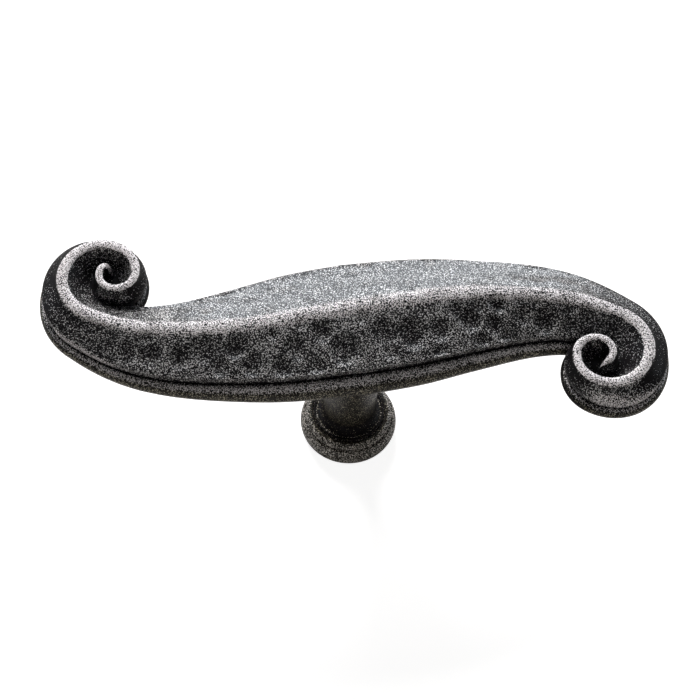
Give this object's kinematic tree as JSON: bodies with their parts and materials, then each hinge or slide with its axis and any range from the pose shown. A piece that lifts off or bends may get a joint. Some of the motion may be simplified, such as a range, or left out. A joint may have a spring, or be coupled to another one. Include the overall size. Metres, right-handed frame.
{
  "type": "cabinet knob",
  "caption": "Cast cabinet knob: a roofed bar with a volute at each end, on a short turned post and foot that a screw from behind the door fastens.",
  "frame": {"origin": "on the post's axis, in the face of the foot that meets the door", "axes": "+Z along the post, out of the door; +X along the bar"},
  "size_m": [0.1012, 0.029, 0.0376],
  "materials": {
    "blackened_metal": "antique blackened casting with fine bright grain, rubbed bright on the crest"
  },
  "bodies": {
    "root": {"cast_knob": "blackened_metal"}
  },
  "joints": []
}
